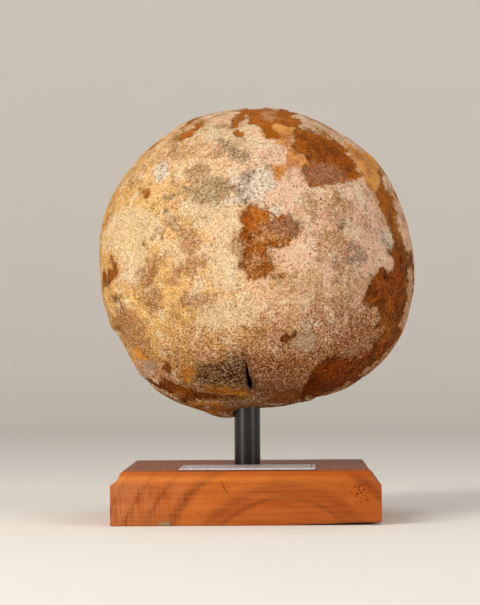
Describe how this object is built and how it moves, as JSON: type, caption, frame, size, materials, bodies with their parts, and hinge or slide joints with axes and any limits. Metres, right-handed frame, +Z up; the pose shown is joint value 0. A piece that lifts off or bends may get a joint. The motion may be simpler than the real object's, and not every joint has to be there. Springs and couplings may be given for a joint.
{
  "type": "fossil mammoth femoral head on a display stand",
  "caption": "Round fossil ball end of a mammoth femur, on an upright rod fixed in a square moulded wooden plinth with a blank label card.",
  "frame": {"origin": "centre of the plinth's underside, on the surface that it stands on", "axes": "+Z up, along the rod; -Y towards the front, where the bone's domed joint surface and the label face; +X to the right as seen from the front"},
  "size_m": [0.1551, 0.1308, 0.2017],
  "materials": {
    "fossil_bone": "matte",
    "black_steel": "satin",
    "oiled_wood": "satin",
    "label_card": "satin"
  },
  "bodies": {
    "root": {"femoral_head": "fossil_bone", "support_rod": "black_steel", "plinth": "oiled_wood", "label_card": "label_card"}
  },
  "joints": []
}
